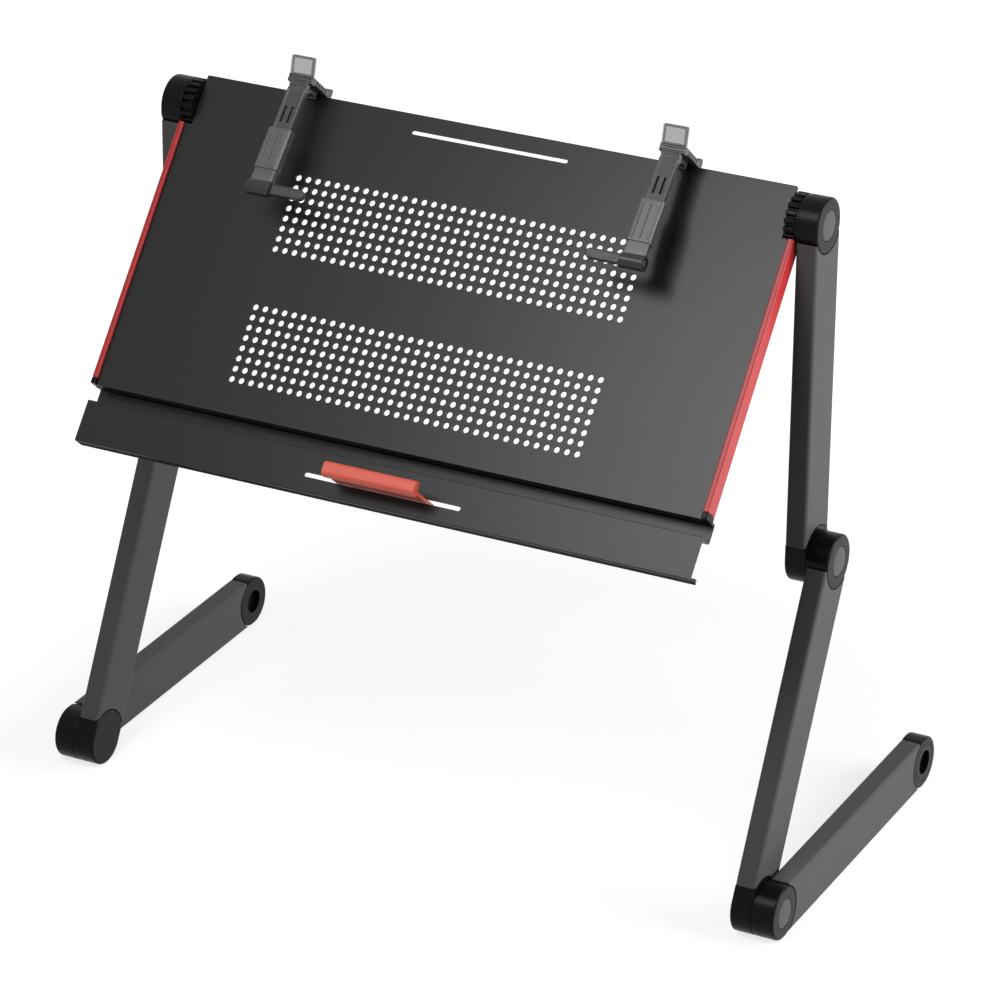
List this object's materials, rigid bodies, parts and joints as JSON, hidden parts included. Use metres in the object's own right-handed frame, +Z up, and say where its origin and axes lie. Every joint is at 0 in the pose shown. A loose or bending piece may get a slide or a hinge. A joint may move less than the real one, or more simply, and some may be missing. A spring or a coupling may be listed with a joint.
{
  "type": "folding laptop stand",
  "caption": "Folding laptop stand: a vented sloping deck on two jointed legs that lock at any angle, with page clips along the top edge and a stopper on the ledge.",
  "frame": {"origin": "on the floor, at the middle of the space that the stand takes up", "axes": "+X to the user's right along the deck's width, +Y away from the user, +Z up"},
  "size_m": [0.5114, 0.292, 0.4699],
  "materials": {
    "deck_black": "black anodised, satin",
    "leg_grey": "charcoal anodised, satin",
    "cap_black": "moulded, fine grain",
    "button_grey": "moulded, satin",
    "trim_red": "soft moulded strip",
    "stopper_red": "moulded, satin gloss",
    "smoke_clear": "smoke tinted, clear moulding",
    "steel": "plain",
    "nylon_white": "natural nylon"
  },
  "bodies": {
    "deck": {"deck_plate": "deck_black", "front_rail": "deck_black", "edge_strip_right": "trim_red", "edge_rail_right": "cap_black", "hinge_bracket_right": "cap_black", "top_pin_right": "steel", "edge_strip_left": "trim_red", "edge_rail_left": "cap_black", "hinge_bracket_left": "cap_black", "top_pin_left": "steel"},
    "stopper": {"stopper": "stopper_red"},
    "upper_leg_right": {"upper_tube_right": "leg_grey", "upper_head_cap_right": "cap_black", "upper_tail_cap_right": "cap_black", "middle_pin_right": "steel"},
    "lower_leg_right": {"lower_tube_right": "leg_grey", "lower_head_cap_right": "cap_black", "lower_tail_cap_right": "cap_black", "bottom_pin_right": "steel"},
    "foot_right": {"foot_tube_right": "leg_grey", "foot_head_cap_right": "cap_black", "foot_end_cap_right": "cap_black"},
    "top_lock_right": {"top_button_right": "button_grey", "top_lock_ring_right": "nylon_white", "top_spring_right": "steel"},
    "middle_lock_right": {"middle_button_right": "button_grey", "middle_lock_ring_right": "nylon_white", "middle_spring_right": "steel"},
    "bottom_lock_right": {"bottom_button_right": "button_grey", "bottom_lock_ring_right": "nylon_white", "bottom_spring_right": "steel"},
    "clip_right": {"clip_body_right": "smoke_clear"},
    "clip_jaw_right": {"clip_jaw_right": "smoke_clear"},
    "clip_sleeve_right": {"clip_sleeve_right": "smoke_clear"},
    "clip_finger_right": {"clip_finger_right": "smoke_clear"},
    "upper_leg_left": {"upper_tube_left": "leg_grey", "upper_head_cap_left": "cap_black", "upper_tail_cap_left": "cap_black", "middle_pin_left": "steel"},
    "lower_leg_left": {"lower_tube_left": "leg_grey", "lower_head_cap_left": "cap_black", "lower_tail_cap_left": "cap_black", "bottom_pin_left": "steel"},
    "foot_left": {"foot_tube_left": "leg_grey", "foot_head_cap_left": "cap_black", "foot_end_cap_left": "cap_black"},
    "top_lock_left": {"top_button_left": "button_grey", "top_lock_ring_left": "nylon_white", "top_spring_left": "steel"},
    "middle_lock_left": {"middle_button_left": "button_grey", "middle_lock_ring_left": "nylon_white", "middle_spring_left": "steel"},
    "bottom_lock_left": {"bottom_button_left": "button_grey", "bottom_lock_ring_left": "nylon_white", "bottom_spring_left": "steel"},
    "clip_left": {"clip_body_left": "smoke_clear"},
    "clip_jaw_left": {"clip_jaw_left": "smoke_clear"},
    "clip_sleeve_left": {"clip_sleeve_left": "smoke_clear"},
    "clip_finger_left": {"clip_finger_left": "smoke_clear"}
  },
  "joints": [
    {"name": "stopper_slide", "type": "slide", "parent": "deck", "child": "stopper", "axis": [0, -0.7604, 0.6494], "range_m": [-0.014, 0.006]},
    {"name": "top_hinge_right", "type": "hinge", "parent": "deck", "child": "upper_leg_right", "pos_m": [0.2105, 0.01984, 0.42237], "axis": [1, 0, 0], "continuous": true},
    {"name": "top_button_press_right", "type": "slide", "parent": "upper_leg_right", "child": "top_lock_right", "axis": [-1, 0, 0], "range_m": [0, 0.0022], "stiffness_N_per_m": 4500},
    {"name": "middle_hinge_right", "type": "hinge", "parent": "upper_leg_right", "child": "lower_leg_right", "pos_m": [0.2257, 0.01533, 0.20692], "axis": [1, 0, 0], "continuous": true},
    {"name": "middle_button_press_right", "type": "slide", "parent": "lower_leg_right", "child": "middle_lock_right", "axis": [-1, 0, 0], "range_m": [0, 0.0022], "stiffness_N_per_m": 4500},
    {"name": "bottom_hinge_right", "type": "hinge", "parent": "lower_leg_right", "child": "foot_right", "pos_m": [0.2409, -0.08651, 0.017], "axis": [1, 0, 0], "continuous": true},
    {"name": "bottom_button_press_right", "type": "slide", "parent": "foot_right", "child": "bottom_lock_right", "axis": [-1, 0, 0], "range_m": [0, 0.0022], "stiffness_N_per_m": 4500},
    {"name": "clip_slide_right", "type": "slide", "parent": "deck", "child": "clip_right", "axis": [1, 0, 0], "range_m": [-0.06, 0.04]},
    {"name": "clip_jaw_hinge_right", "type": "hinge", "parent": "clip_right", "child": "clip_jaw_right", "pos_m": [0.127, 0.03091, 0.44119], "axis": [1, 0, 0], "range_deg": [0, 25], "stiffness_Nm_per_rad": 0.5},
    {"name": "clip_sleeve_slide_right", "type": "slide", "parent": "clip_right", "child": "clip_sleeve_right", "axis": [0, 0.7133, 0.7009], "range_m": [-0.01, 0.014]},
    {"name": "clip_finger_hinge_right", "type": "hinge", "parent": "clip_sleeve_right", "child": "clip_finger_right", "pos_m": [0.127, -0.04255, 0.40356], "axis": [1, 0, 0], "range_deg": [-90, 90]},
    {"name": "top_hinge_left", "type": "hinge", "parent": "deck", "child": "upper_leg_left", "pos_m": [-0.2105, 0.01984, 0.42237], "axis": [1, 0, 0], "continuous": true},
    {"name": "top_button_press_left", "type": "slide", "parent": "upper_leg_left", "child": "top_lock_left", "axis": [1, 0, 0], "range_m": [0, 0.0022], "stiffness_N_per_m": 4500},
    {"name": "middle_hinge_left", "type": "hinge", "parent": "upper_leg_left", "child": "lower_leg_left", "pos_m": [-0.2257, 0.01533, 0.20692], "axis": [1, 0, 0], "continuous": true},
    {"name": "middle_button_press_left", "type": "slide", "parent": "lower_leg_left", "child": "middle_lock_left", "axis": [1, 0, 0], "range_m": [0, 0.0022], "stiffness_N_per_m": 4500},
    {"name": "bottom_hinge_left", "type": "hinge", "parent": "lower_leg_left", "child": "foot_left", "pos_m": [-0.2409, -0.08651, 0.017], "axis": [1, 0, 0], "continuous": true},
    {"name": "bottom_button_press_left", "type": "slide", "parent": "foot_left", "child": "bottom_lock_left", "axis": [1, 0, 0], "range_m": [0, 0.0022], "stiffness_N_per_m": 4500},
    {"name": "clip_slide_left", "type": "slide", "parent": "deck", "child": "clip_left", "axis": [1, 0, 0], "range_m": [-0.04, 0.06]},
    {"name": "clip_jaw_hinge_left", "type": "hinge", "parent": "clip_left", "child": "clip_jaw_left", "pos_m": [-0.127, 0.03091, 0.44119], "axis": [1, 0, 0], "range_deg": [0, 25], "stiffness_Nm_per_rad": 0.5},
    {"name": "clip_sleeve_slide_left", "type": "slide", "parent": "clip_left", "child": "clip_sleeve_left", "axis": [0, 0.7133, 0.7009], "range_m": [-0.01, 0.014]},
    {"name": "clip_finger_hinge_left", "type": "hinge", "parent": "clip_sleeve_left", "child": "clip_finger_left", "pos_m": [-0.127, -0.04255, 0.40356], "axis": [1, 0, 0], "range_deg": [-90, 90]}
  ]
}
